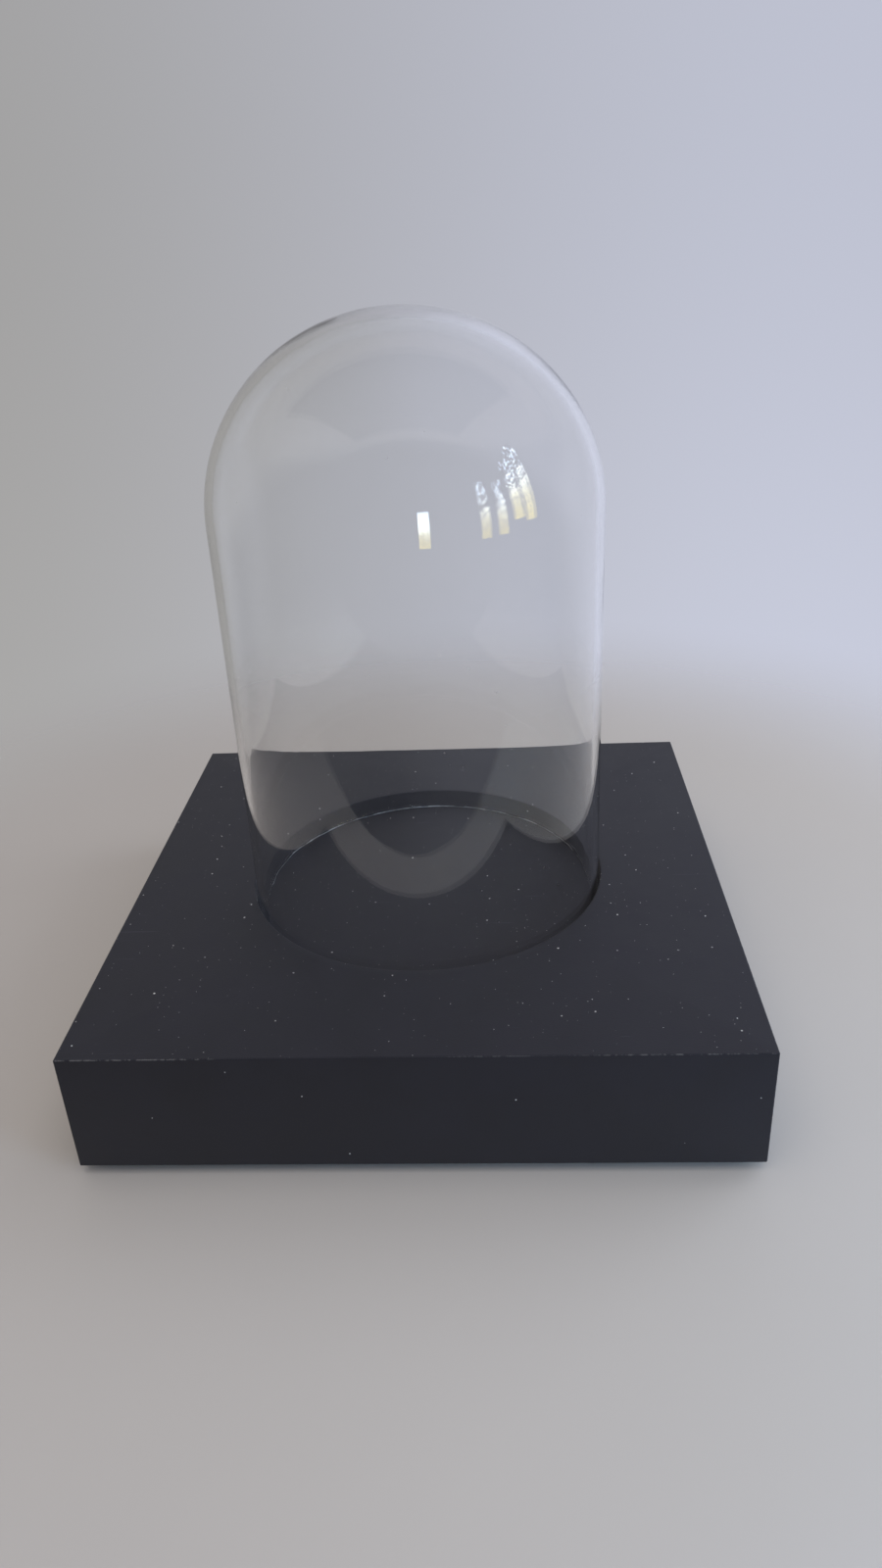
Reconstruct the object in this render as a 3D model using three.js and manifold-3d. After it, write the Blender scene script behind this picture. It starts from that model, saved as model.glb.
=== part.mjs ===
// A glass bell jar standing in the round well of a square display plinth.
// Millimetres, +Z up. The origin is the centre of the footprint, on the surface
// that the feet stand on. The front is towards -Y.
//
// The plinth is a hollow box of lacquered board, mitred all round so that no end
// grain or seam shows on its faces. A screwed-in bottom panel closes it, and four
// rubber feet lift it clear of the table. The dome only stands in the well.

import * as THREE from 'three';
import { mergeVertices } from 'three/addons/utils/BufferGeometryUtils.js';
import Module from 'manifold-3d';

// ---- driving dimensions -------------------------------------------------

const plinthWidth = 300;
const plinthHeight = 60;
const panelThickness = 18;
const bottomPanelThickness = 12;
const arris = 0.8;

const footHeight = 5;
const footDiameter = 22;
const footInset = 50;

const wellDiameter = 182;
const wellDepth = 10;
const wellLip = 0.6;

const domeDiameter = 180;
const domeHeight = 285;
const domeCapHeight = 86;
const glassThickness = 3.5;
const rimRounding = 1.1;

const cornerBlockSide = 24;

const glueLine = 0.2;
const contactGap = 0.1;
const screwClearance = 0.3;

// Around-the-axis steps of each kind of turned piece, and along the dome's cap.
const domeSteps = 64;
const capSteps = 12;
const wellSteps = 96;
const footSteps = 32;
const screwSteps = 16;

// ---- levels and places that follow from them ----------------------------

const half = plinthWidth / 2;
const innerHalf = half - panelThickness;
const undersideZ = footHeight;
const topZ = footHeight + plinthHeight;
const cavityTopZ = topZ - panelThickness;
const cavityBottomZ = undersideZ + bottomPanelThickness;
const wellFloorZ = topZ - wellDepth;
const domeBottomZ = wellFloorZ + contactGap;
const footReach = half - footInset;
const blockReach = innerHalf - contactGap - cornerBlockSide / 2;
const mitreBack = glueLine / Math.SQRT2;

const corners = [
  { name: 'front_left', x: -1, y: -1 },
  { name: 'front_right', x: 1, y: -1 },
  { name: 'back_right', x: 1, y: 1 },
  { name: 'back_left', x: -1, y: 1 },
];

const sides = [
  { name: 'front_panel', turn: 0 },
  { name: 'right_panel', turn: Math.PI / 2 },
  { name: 'back_panel', turn: Math.PI },
  { name: 'left_panel', turn: -Math.PI / 2 },
];

// A countersunk screw holds the bottom panel, a pan-head screw holds each foot.
const panelScrew = { length: 30, shankRadius: 1.9, headRadius: 3.9, headDepth: 3.2, sunk: 0.4 };
const footScrew = { length: 12, shankRadius: 1.7, headRadius: 3.4, headDepth: 1.5 };
const screwPoint = 3;
const recess = { arm: 4.2, width: 1.1, depth: 1.0 };

const washer = { outerRadius: 4.6, thickness: 0.8 };
const footPocket = { radius: 5.2, depth: 3.0 };
const footTaper = 1.0;
const footEdge = 0.5;

// ---- materials ----------------------------------------------------------

const charcoalBoard = () => new THREE.MeshStandardMaterial({ color: 0x2c2d31, roughness: 0.8 });
const rawBoard = () => new THREE.MeshStandardMaterial({ color: 0x8a6a4a, roughness: 0.9 });
const blackRubber = () => new THREE.MeshStandardMaterial({ color: 0x161617, roughness: 0.85 });
const zincSteel = () => new THREE.MeshStandardMaterial({ color: 0xb4b6ba, roughness: 0.35, metalness: 1 });
const clearGlass = () => new THREE.MeshStandardMaterial({
  color: 0xe6efec,
  roughness: 0.03,
  transparent: true,
  opacity: 0.28,
});

// ---- solid modelling ----------------------------------------------------

const library = await Module();
library.setup();

// A closed three.js geometry as a solid that can be cut and joined.
function toSolid(geometry) {
  const bare = geometry.clone();
  bare.deleteAttribute('normal');
  bare.deleteAttribute('uv');
  const welded = mergeVertices(bare);
  const index = welded.index.array;
  const kept = [];
  for (let i = 0; i < index.length; i += 3) {
    const [a, b, c] = [index[i], index[i + 1], index[i + 2]];
    if (a !== b && b !== c && c !== a) kept.push(a, b, c);
  }
  return new library.Manifold(new library.Mesh({
    numProp: 3,
    vertProperties: new Float32Array(welded.attributes.position.array),
    triVerts: new Uint32Array(kept),
  }));
}

function toGeometry(solid) {
  const mesh = solid.getMesh();
  const geometry = new THREE.BufferGeometry();
  geometry.setAttribute('position', new THREE.BufferAttribute(new Float32Array(mesh.vertProperties), 3));
  geometry.setIndex(new THREE.BufferAttribute(new Uint32Array(mesh.triVerts), 1));
  geometry.computeVertexNormals();
  return geometry;
}

// A round piece about the Z axis, from its [radius, height] outline.
function turned(outline, steps) {
  const points = outline.map(([radius, height]) => new THREE.Vector2(radius, height));
  return new THREE.LatheGeometry(points, steps).rotateX(Math.PI / 2);
}

// A straight bar of the given outline, centred on the origin along its length.
// across and up say which way the outline's two numbers run.
function bar(outline, length, across, up) {
  const shape = new THREE.Shape(outline.map(([u, v]) => new THREE.Vector2(u, v)));
  const geometry = new THREE.ExtrudeGeometry(shape, { depth: length, bevelEnabled: false });
  geometry.translate(0, 0, -length / 2);
  const along = new THREE.Vector3().crossVectors(across, up);
  return geometry.applyMatrix4(new THREE.Matrix4().makeBasis(across, up, along));
}

const axisX = new THREE.Vector3(1, 0, 0);
const axisY = new THREE.Vector3(0, 1, 0);
const axisZ = new THREE.Vector3(0, 0, 1);

function mirrored(outline) {
  return outline.concat(outline.map(([u, v]) => [-u, v]).reverse());
}

function cylinder(radius, bottom, top, x, y) {
  const geometry = turned([[0, bottom], [radius, bottom], [radius, top], [0, top]], screwSteps);
  return geometry.translate(x, y, 0);
}

// ---- the glass ----------------------------------------------------------

// The arc of an elliptical cap, from its crown on the axis down to the wall.
function capArc(radius, springZ, height) {
  const arc = [];
  for (let i = 0; i < capSteps; i += 1) {
    const angle = (i / capSteps) * (Math.PI / 2);
    arc.push([radius * Math.sin(angle), springZ + height * Math.cos(angle)]);
  }
  arc.push([radius, springZ]);
  arc[0][0] = 0;
  return arc;
}

function glassDome() {
  const outerRadius = domeDiameter / 2;
  const innerRadius = outerRadius - glassThickness;
  const springZ = domeBottomZ + domeHeight - domeCapHeight;
  const cut = rimRounding * (1 - Math.SQRT1_2);
  const rim = [
    [innerRadius, domeBottomZ + rimRounding],
    [innerRadius + cut, domeBottomZ + cut],
    [innerRadius + rimRounding, domeBottomZ],
    [outerRadius - rimRounding, domeBottomZ],
    [outerRadius - cut, domeBottomZ + cut],
    [outerRadius, domeBottomZ + rimRounding],
  ];
  const inside = capArc(innerRadius, springZ, domeCapHeight - glassThickness);
  const outside = capArc(outerRadius, springZ, domeCapHeight).reverse();
  return turned([...inside, ...rim, ...outside], domeSteps);
}

// ---- the plinth's panels ------------------------------------------------

// The mitre and the eased arris meet on the outer corner of two panels. This gives
// how far from that corner the meeting point lies, out of the panel's own face and
// along it.
const mitreMeet = { near: (arris - mitreBack) / 2, far: (arris + mitreBack) / 2 };

function topPanel() {
  const section = mirrored([
    [innerHalf - mitreBack, cavityTopZ],
    [half - mitreMeet.far, topZ - mitreMeet.near],
    [half - arris, topZ],
  ]);
  const plan = mirrored([
    [half - arris, -half],
    [half, -half + arris],
    [half, half - arris],
    [half - arris, half],
  ]);
  // The well's floor has a ring of its own inside the line that the glass stands on.
  const floorRing = domeDiameter / 2 - 2 * glassThickness;
  const wellRadius = wellDiameter / 2;
  const above = topZ + 1;
  const well = turned([
    [0, wellFloorZ],
    [floorRing, wellFloorZ],
    [wellRadius, wellFloorZ],
    [wellRadius, topZ - wellLip],
    [wellRadius + wellLip, topZ],
    [wellRadius + wellLip, above],
    [0, above],
  ], wellSteps);
  const slab = toSolid(bar(section, plinthWidth + 2, axisY, axisZ))
    .intersect(toSolid(bar(section, plinthWidth + 2, axisX, axisZ)))
    .intersect(toSolid(bar(plan, 4 * plinthHeight, axisX, axisY)));
  return toGeometry(slab.subtract(toSolid(well)));
}

// One side of the box, as it stands at the front. The others are it, turned.
function sidePanel() {
  const section = [
    [-half + arris, undersideZ],
    [-innerHalf, undersideZ],
    [-innerHalf, cavityTopZ - mitreBack],
    [-half + mitreMeet.near, topZ - mitreMeet.far],
    [-half, topZ - arris],
    [-half, undersideZ + arris],
  ];
  const plan = mirrored([
    [half - arris, -half],
    [half - mitreMeet.far, -half + mitreMeet.near],
    [innerHalf - mitreBack, -innerHalf],
  ]);
  const long = toSolid(bar(section, plinthWidth + 2, axisY, axisZ));
  return toGeometry(long.intersect(toSolid(bar(plan, 4 * plinthHeight, axisX, axisY))));
}

// The countersunk hole that a panel screw passes through.
function countersink(x, y) {
  const rim = panelScrew.headRadius + screwClearance;
  const hole = panelScrew.shankRadius + screwClearance;
  const taperTop = undersideZ + panelScrew.sunk + panelScrew.headDepth;
  const outline = [
    [0, undersideZ - 1],
    [rim, undersideZ - 1],
    [rim, undersideZ + panelScrew.sunk],
    [hole, taperTop],
    [hole, cavityBottomZ + 1],
    [0, cavityBottomZ + 1],
  ];
  return turned(outline, screwSteps).translate(x, y, 0);
}

// The hole up into a piece that a screw's shank and point lie in.
function pilotHole(screw, headBottomZ, x, y) {
  const radius = screw.shankRadius + screwClearance;
  return cylinder(radius, undersideZ - 1, headBottomZ + screw.length + screwClearance, x, y);
}

const footScrewBottomZ = footPocket.depth - contactGap - washer.thickness - contactGap - footScrew.headDepth;

function bottomPanel() {
  const reach = innerHalf - contactGap;
  const square = [[-reach, -reach], [reach, -reach], [reach, reach], [-reach, reach]];
  const blank = bar(square, bottomPanelThickness - contactGap, axisX, axisY);
  blank.translate(0, 0, undersideZ + (bottomPanelThickness - contactGap) / 2);
  let panel = toSolid(blank);
  for (const { x, y } of corners) {
    panel = panel.subtract(toSolid(countersink(x * blockReach, y * blockReach)));
    const hole = pilotHole(footScrew, footScrewBottomZ, x * footReach, y * footReach);
    panel = panel.subtract(toSolid(hole));
  }
  return toGeometry(panel);
}

// A glue block in each inside corner, drilled for the screw that holds the bottom.
function cornerBlock({ x, y }) {
  const reach = cornerBlockSide / 2;
  const square = [[-reach, -reach], [reach, -reach], [reach, reach], [-reach, reach]];
  const height = cavityTopZ - cavityBottomZ - contactGap;
  const blank = bar(square, height, axisX, axisY);
  blank.translate(x * blockReach, y * blockReach, cavityBottomZ + height / 2);
  const hole = pilotHole(panelScrew, undersideZ + panelScrew.sunk, x * blockReach, y * blockReach);
  return toGeometry(toSolid(blank).subtract(toSolid(hole)));
}

// ---- screws, washers and feet -------------------------------------------

// The cross recess in a screw's head, which faces down.
function crossRecess(bottomZ) {
  const arms = [[recess.arm, recess.width], [recess.width, recess.arm]].map(([x, y]) => (
    toSolid(new THREE.BoxGeometry(x, y, 2 * recess.depth).translate(0, 0, bottomZ))
  ));
  return arms[0].add(arms[1]);
}

function panelScrewBody() {
  const bottom = undersideZ + panelScrew.sunk;
  const tip = bottom + panelScrew.length;
  const outline = [
    [0, bottom],
    [panelScrew.headRadius, bottom],
    [panelScrew.shankRadius, bottom + panelScrew.headDepth],
    [panelScrew.shankRadius, tip - screwPoint],
    [0, tip],
  ];
  return toGeometry(toSolid(turned(outline, screwSteps)).subtract(crossRecess(bottom)));
}

function footScrewBody() {
  const bottom = footScrewBottomZ;
  const tip = bottom + footScrew.length;
  const headTop = bottom + footScrew.headDepth;
  const outline = [
    [0, bottom],
    [footScrew.headRadius * 0.7, bottom],
    [footScrew.headRadius, bottom + footScrew.headDepth * 0.55],
    [footScrew.headRadius, headTop],
    [footScrew.shankRadius, headTop],
    [footScrew.shankRadius, tip - screwPoint],
    [0, tip],
  ];
  return toGeometry(toSolid(turned(outline, screwSteps)).subtract(crossRecess(bottom)));
}

function footWasher() {
  const top = footPocket.depth - contactGap;
  const bottom = top - washer.thickness;
  const hole = footScrew.shankRadius + screwClearance;
  return turned([
    [hole, top],
    [hole, bottom],
    [washer.outerRadius, bottom],
    [washer.outerRadius, top],
    [hole, top],
  ], footSteps);
}

function rubberFoot() {
  const top = footHeight - contactGap;
  const outer = footDiameter / 2;
  const tread = outer - footTaper;
  const hole = footScrew.shankRadius + screwClearance;
  return turned([
    [hole, top],
    [hole, footPocket.depth],
    [footPocket.radius, footPocket.depth],
    [footPocket.radius, 0],
    [tread - footEdge, 0],
    [tread, footEdge],
    [outer, top],
    [hole, top],
  ], footSteps);
}

// ---- assembly -----------------------------------------------------------

function named(name, geometry, material) {
  const mesh = new THREE.Mesh(geometry, material);
  mesh.name = name;
  return mesh;
}

const plinth = new THREE.Group();
plinth.add(named('top_panel', topPanel(), charcoalBoard()));
for (const { name, turn } of sides) {
  const panel = named(name, sidePanel(), charcoalBoard());
  panel.rotation.z = turn;
  plinth.add(panel);
}
plinth.add(named('bottom_panel', bottomPanel(), charcoalBoard()));

for (const corner of corners) {
  const { name, x, y } = corner;
  plinth.add(named(`corner_block_${name}`, cornerBlock(corner), rawBoard()));

  const screw = named(`bottom_screw_${name}`, panelScrewBody(), zincSteel());
  screw.position.set(x * blockReach, y * blockReach, 0);
  plinth.add(screw);

  const foot = new THREE.Group();
  foot.position.set(x * footReach, y * footReach, 0);
  foot.add(named(`rubber_foot_${name}`, rubberFoot(), blackRubber()));
  foot.add(named(`foot_washer_${name}`, footWasher(), zincSteel()));
  foot.add(named(`foot_screw_${name}`, footScrewBody(), zincSteel()));
  plinth.add(foot);
}

const bellJar = new THREE.Group();
bellJar.add(plinth);
bellJar.add(named('glass_dome', glassDome(), clearGlass()));

export default bellJar;
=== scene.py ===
"""A glass bell jar on a charcoal display plinth: its fine meshes, finishes and studio."""

import math

import bmesh
import bpy
from mathutils import Matrix, Vector, noise


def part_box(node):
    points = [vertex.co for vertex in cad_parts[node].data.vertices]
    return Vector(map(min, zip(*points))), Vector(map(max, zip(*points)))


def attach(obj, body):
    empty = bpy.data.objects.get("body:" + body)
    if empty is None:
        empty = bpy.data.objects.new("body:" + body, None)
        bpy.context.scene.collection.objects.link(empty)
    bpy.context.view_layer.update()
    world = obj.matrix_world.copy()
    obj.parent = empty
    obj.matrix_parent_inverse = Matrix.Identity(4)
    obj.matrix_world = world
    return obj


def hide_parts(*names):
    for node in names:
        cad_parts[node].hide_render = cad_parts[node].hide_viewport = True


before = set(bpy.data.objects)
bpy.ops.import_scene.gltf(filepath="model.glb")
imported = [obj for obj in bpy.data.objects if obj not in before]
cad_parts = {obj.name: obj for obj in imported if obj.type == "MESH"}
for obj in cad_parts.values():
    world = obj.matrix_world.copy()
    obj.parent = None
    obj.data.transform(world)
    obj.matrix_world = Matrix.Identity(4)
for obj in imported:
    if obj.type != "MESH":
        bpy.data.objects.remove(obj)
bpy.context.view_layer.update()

bl_info = {
    "name": "Bell Jar Dome",
    "version": (1, 0, 0),
    "blender": (4, 5, 0),
    "location": "View3D > Sidebar > Bell Jar",
    "description": "Builds a glass bell jar, its display plinth and a plain studio",
    "category": "Object",
}

MM = 0.001
CORNERS = ("front_left", "front_right", "back_right", "back_left")
SIDES = {"front_panel": 0, "right_panel": 90, "back_panel": 180, "left_panel": 270}

# ---- places that the frame gives ----------------------------------------

PLINTH_LOW = Vector((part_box("left_panel")[0].x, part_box("front_panel")[0].y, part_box("front_panel")[0].z))
PLINTH_HIGH = Vector((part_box("right_panel")[1].x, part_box("back_panel")[1].y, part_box("top_panel")[1].z))
HALF = PLINTH_HIGH.x
INNER_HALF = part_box("right_panel")[0].x
TOP_Z = PLINTH_HIGH.z
CAVITY_TOP_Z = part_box("top_panel")[0].z
DOME_LOW, DOME_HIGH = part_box("glass_dome")
DOME_RADIUS = DOME_HIGH.x


# ---- sizes and colours that a user would change -------------------------

COLOUR = {"size": 3, "subtype": "COLOR", "min": 0, "max": 1}

class GlassSettings(bpy.types.PropertyGroup):
    wall: bpy.props.FloatProperty(
        name="Wall", description="Thickness of the glass", default=3.5 * MM, unit="LENGTH")
    crown: bpy.props.FloatProperty(
        name="Crown", description="Extra thickness at the top of the cap",
        default=1.0 * MM, unit="LENGTH")
    cap_height: bpy.props.FloatProperty(
        name="Cap height", description="Height of the rounded cap above the straight wall",
        default=86 * MM, unit="LENGTH")
    waviness: bpy.props.FloatProperty(
        name="Waviness", description="How far the blown wall wanders from a true round",
        default=0.28 * MM, unit="LENGTH")
    rim_rounding: bpy.props.FloatProperty(
        name="Rim rounding", description="Radius of the fire-polished rim's edges",
        default=1.3 * MM, unit="LENGTH")
    tint: bpy.props.FloatVectorProperty(
        name="Tint", description="Colour of light that has passed through the glass",
        default=(0.996, 0.998, 0.997), **COLOUR)
    # Pale colour of the ground inner rim edge: partly the frosted glass's own colour, partly a painted
    # highlight for the wall's light refracted in the rim.
    ground_edge_and_highlight: bpy.props.FloatVectorProperty(
        name="Ground edge", description="Colour of the ground inner edge of the rim",
        default=(0.92, 0.93, 0.95), **COLOUR)


class PlinthSettings(bpy.types.PropertyGroup):
    lacquer: bpy.props.FloatVectorProperty(
        name="Lacquer", description="Charcoal finish of the plinth",
        default=(0.0165, 0.0158, 0.0212), **COLOUR)
    worn: bpy.props.FloatVectorProperty(
        name="Worn arris", description="Colour where the lacquer has rubbed thin",
        default=(0.125, 0.12, 0.12), **COLOUR)
    arris: bpy.props.FloatProperty(
        name="Arris", description="Radius of the eased outer edges", default=0.7 * MM, unit="LENGTH")
    glue_line: bpy.props.FloatProperty(
        name="Glue line", description="Width of the line between two mitred panels",
        default=0.06 * MM, unit="LENGTH")
    well_clearance: bpy.props.FloatProperty(
        name="Well clearance", description="Gap between the dome and the wall of its well",
        default=1.0 * MM, unit="LENGTH")
    rest_gap: bpy.props.FloatProperty(
        name="Rest gap", description="Gap between the glass rim and the floor that it stands on",
        default=0.1 * MM, unit="LENGTH")
    softwood: bpy.props.FloatVectorProperty(
        name="Softwood", description="Colour of the bare glue blocks",
        default=(0.52, 0.34, 0.17), **COLOUR)


class FittingSettings(bpy.types.PropertyGroup):
    rubber: bpy.props.FloatVectorProperty(
        name="Rubber", description="Colour of the feet",
        default=(0.012, 0.012, 0.013), **COLOUR)
    zinc: bpy.props.FloatVectorProperty(
        name="Zinc", description="Colour of the plated screws and washers",
        default=(0.66, 0.67, 0.68), **COLOUR)
    thread_pitch: bpy.props.FloatProperty(
        name="Thread pitch", description="Height of one turn of a screw's thread",
        default=1.8 * MM, unit="LENGTH")
    thread_depth: bpy.props.FloatProperty(
        name="Thread depth", description="Height of the thread over its core",
        default=0.5 * MM, unit="LENGTH")


class StudioSettings(bpy.types.PropertyGroup):
    floor: bpy.props.FloatVectorProperty(
        name="Floor", description="Colour of the plain floor",
        default=(0.55, 0.515, 0.48), **COLOUR)
    backdrop_left: bpy.props.FloatVectorProperty(
        name="Backdrop left", description="Plain colour behind the object, on its left",
        default=(0.362, 0.356, 0.35), **COLOUR)
    backdrop_right: bpy.props.FloatVectorProperty(
        name="Backdrop right", description="Plain colour behind the object, on its right",
        default=(0.53, 0.552, 0.655), **COLOUR)
    mirrored_dark: bpy.props.FloatVectorProperty(
        name="Mirrored dark side", description="What gloss mirrors of the unlit room in front",
        default=(0.05, 0.05, 0.055), **COLOUR)
    mirrored_window: bpy.props.FloatVectorProperty(
        name="Mirrored window side", description="What gloss mirrors of the room towards its windows",
        default=(0.22, 0.23, 0.27), **COLOUR)
    light_behind: bpy.props.FloatVectorProperty(
        name="Light behind", description="Even light from above and from behind the object",
        default=(0.40, 0.40, 0.42), **COLOUR)
    light_in_front: bpy.props.FloatVectorProperty(
        name="Light in front", description="Even light from below and from in front of the object",
        default=(0.43, 0.425, 0.435), **COLOUR)
    lens: bpy.props.FloatProperty(
        name="Lens", description="Focal length of the camera on a 36 mm frame",
        default=25.21, min=1)
    camera_place: bpy.props.FloatVectorProperty(
        name="Camera place", description="Where the camera stands",
        default=(0.0402, -0.4999, 0.3680), size=3, subtype="XYZ", unit="LENGTH")
    heading: bpy.props.FloatProperty(
        name="Heading", description="Turn of the camera to the left of straight ahead",
        default=math.radians(3.52), subtype="ANGLE")
    tilt: bpy.props.FloatProperty(
        name="Tilt", description="Angle by which the camera looks down",
        default=math.radians(26.87), subtype="ANGLE")
    roll: bpy.props.FloatProperty(
        name="Roll", description="Lean of the camera to its right",
        default=math.radians(2.97), subtype="ANGLE")


# ---- meshes -------------------------------------------------------------

def place(name, bm, body, smooth_below=35):
    """Turns a bmesh into an object in the scene, smooth where faces meet at less than an angle."""
    bmesh.ops.recalc_face_normals(bm, faces=bm.faces)
    mesh = bpy.data.meshes.new(name)
    bm.to_mesh(mesh)
    bm.free()
    for face in mesh.polygons:
        face.use_smooth = True
    mesh.set_sharp_from_angle(angle=math.radians(smooth_below))
    piece = bpy.data.objects.new(name, mesh)
    bpy.context.scene.collection.objects.link(piece)
    if body:
        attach(piece, body)
    return piece


def loft(loops, closed=False):
    """A bmesh skinned over loops of as many points each. Its two ends are closed by a fan,
    or joined to each other when closed."""
    bm = bmesh.new()
    rows = [[bm.verts.new(point) for point in loop] for loop in loops]
    pairs = list(zip(rows, rows[1:]))
    if closed:
        pairs.append((rows[-1], rows[0]))
    for lower, upper in pairs:
        for i, vert in enumerate(lower):
            j = (i + 1) % len(lower)
            bm.faces.new((vert, lower[j], upper[j], upper[i]))
    if not closed:
        for row in (rows[0], rows[-1]):
            centre = bm.verts.new(sum((v.co for v in row), Vector()) / len(row))
            for i, vert in enumerate(row):
                bm.faces.new((vert, row[(i + 1) % len(row)], centre))
    bmesh.ops.remove_doubles(bm, verts=bm.verts, dist=1e-7)
    return bm


def ring(radius, z, steps, centre=(0, 0)):
    """Points round a vertical axis."""
    turn = math.tau / steps
    return [
        Vector((centre[0] + radius * math.cos(i * turn), centre[1] + radius * math.sin(i * turn), z))
        for i in range(steps)
    ]


def turned(outline, steps, centre=(0, 0), closed=False):
    """A round solid about a vertical axis from its (radius, height) outline."""
    return loft([ring(radius, z, steps, centre) for radius, z in outline], closed)


def arc(centre, radius, start, end, steps):
    """(across, up) points of an arc. Angles are in degrees from the across direction."""
    points = []
    for i in range(steps + 1):
        angle = math.radians(start + (end - start) * i / steps)
        points.append((centre[0] + radius * math.cos(angle), centre[1] + radius * math.sin(angle)))
    return points


SIDE_POINTS = 60
CORNER_POINTS = 6


def square_loop(half_side, corner, z):
    """A level square with rounded corners, its points evenly spread as seen from its middle."""
    reach = half_side - corner
    points = []
    for side in range(4):
        turn = Matrix.Rotation(side * math.pi / 2, 3, "Z")
        for i in range(SIDE_POINTS):
            angle = ((i + 0.5) / SIDE_POINTS - 0.5) * math.pi / 2
            along = max(-reach, min(reach, half_side * math.tan(angle)))
            points.append(turn @ Vector((half_side, along, z)))
        for i in range(CORNER_POINTS):
            angle = (i + 0.5) / CORNER_POINTS * math.pi / 2
            across, up = reach + corner * math.cos(angle), reach + corner * math.sin(angle)
            points.append(turn @ Vector((across, up, z)))
    return points


def round_loop(radius, z):
    """A level circle whose points lie on the same rays as those of square_loop."""
    return [
        Vector((radius * p.x / p.xy.length, radius * p.y / p.xy.length, z))
        for p in square_loop(1.0, 0.01, 0.0)
    ]


def rounded_box(low, high, radius, steps):
    """A bmesh box with eased edges."""
    bm = bmesh.new()
    bmesh.ops.create_cube(bm, size=1)
    size = [b - a for a, b in zip(low, high)]
    middle = [(a + b) / 2 for a, b in zip(low, high)]
    bmesh.ops.scale(bm, vec=size, verts=bm.verts)
    bmesh.ops.translate(bm, vec=middle, verts=bm.verts)
    bmesh.ops.bevel(bm, geom=list(bm.edges), offset=radius, segments=steps, profile=0.5, affect="EDGES")
    return bm


def slice_off(bm, point, normal):
    """Cuts away what lies beyond a plane, and closes the cut."""
    everything = bm.verts[:] + bm.edges[:] + bm.faces[:]
    bmesh.ops.bisect_plane(bm, geom=everything, plane_co=point, plane_no=normal, clear_outer=True)
    open_edges = [edge for edge in bm.edges if edge.is_boundary]
    bmesh.ops.holes_fill(bm, edges=open_edges, sides=0)


def cut(piece, cutters):
    """Takes the cutters' shapes out of a piece, and removes the cutters."""
    for cutter in cutters:
        boolean = piece.modifiers.new("cut", "BOOLEAN")
        boolean.operation = "DIFFERENCE"
        boolean.solver = "EXACT"
        boolean.object = cutter
    evaluated = piece.evaluated_get(bpy.context.evaluated_depsgraph_get())
    mesh = bpy.data.meshes.new_from_object(evaluated)
    piece.modifiers.clear()
    old = piece.data
    piece.data = mesh
    mesh.name = piece.name
    bpy.data.meshes.remove(old)
    for face in mesh.polygons:
        face.use_smooth = True
    mesh.set_sharp_from_angle(angle=math.radians(30))
    for cutter in cutters:
        bpy.data.objects.remove(cutter)


# ---- node helpers -------------------------------------------------------

def fill(tree, socket, value):
    """Gives a socket its value: another socket to link from, or a constant."""
    if isinstance(value, bpy.types.NodeSocket):
        tree.links.new(value, socket)
    else:
        socket.default_value = value


def node(tree, kind, inputs=None, **settings):
    """Adds a node with its inputs filled."""
    made = tree.nodes.new(kind)
    for key, value in settings.items():
        setattr(made, key, value)
    for key, value in (inputs or {}).items():
        fill(tree, made.inputs[key], value)
    return made


def math_node(tree, operation, *values):
    return node(tree, "ShaderNodeMath", dict(enumerate(values)), operation=operation).outputs[0]


def times(tree, first, second):
    return math_node(tree, "MULTIPLY", first, second)


def plus(tree, first, second):
    return math_node(tree, "ADD", first, second)


def minus(tree, first, second):
    return math_node(tree, "SUBTRACT", first, second)


def highest(tree, first, second):
    return math_node(tree, "MAXIMUM", first, second)


def ramp(tree, value, low, high, to_low=0.0, to_high=1.0):
    """Smoothly maps low..high to to_low..to_high."""
    inputs = {"Value": value, "From Min": low, "From Max": high, "To Min": to_low, "To Max": to_high}
    made = node(tree, "ShaderNodeMapRange", inputs, interpolation_type="SMOOTHSTEP")
    return made.outputs["Result"]


def mix_colour(tree, factor, first, second):
    made = tree.nodes.new("ShaderNodeMix")
    made.data_type = "RGBA"
    colours = [socket for socket in made.inputs if socket.type == "RGBA"]
    for socket, value in zip((made.inputs[0], *colours), (factor, first, second)):
        fill(tree, socket, value)
    return next(socket for socket in made.outputs if socket.type == "RGBA")


def mix_shader(tree, factor, first, second):
    inputs = {0: factor, 1: first.outputs[0], 2: second.outputs[0]}
    return node(tree, "ShaderNodeMixShader", inputs)


def axes_of(tree, vector):
    """The X, Y and Z parts of a vector."""
    return node(tree, "ShaderNodeSeparateXYZ", {"Vector": vector}).outputs


def bumped(tree, height, strength, distance):
    """The surface's direction when a height roughens it."""
    inputs = {"Height": height, "Strength": strength, "Distance": distance}
    return node(tree, "ShaderNodeBump", inputs).outputs["Normal"]


def per(tree, length):
    """The scale of a texture whose features are that long."""
    return math_node(tree, "DIVIDE", 1.0, length)


def noise_node(tree, vector, scale, detail=3.0, roughness=0.55):
    inputs = {"Vector": vector, "Scale": scale, "Detail": detail, "Roughness": roughness}
    return node(tree, "ShaderNodeTexNoise", inputs).outputs["Fac"]


def group(name, inputs, outputs):
    """A new shader node group. inputs maps a name to (kind, default), outputs a name to a kind."""
    tree = bpy.data.node_groups.new(name, "ShaderNodeTree")
    for title, (kind, default) in inputs.items():
        socket = tree.interface.new_socket(name=title, in_out="INPUT", socket_type=kind)
        if default is not None:
            socket.default_value = default
    for title, kind in outputs.items():
        tree.interface.new_socket(name=title, in_out="OUTPUT", socket_type=kind)
    return tree, tree.nodes.new("NodeGroupInput").outputs, tree.nodes.new("NodeGroupOutput").inputs


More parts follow.
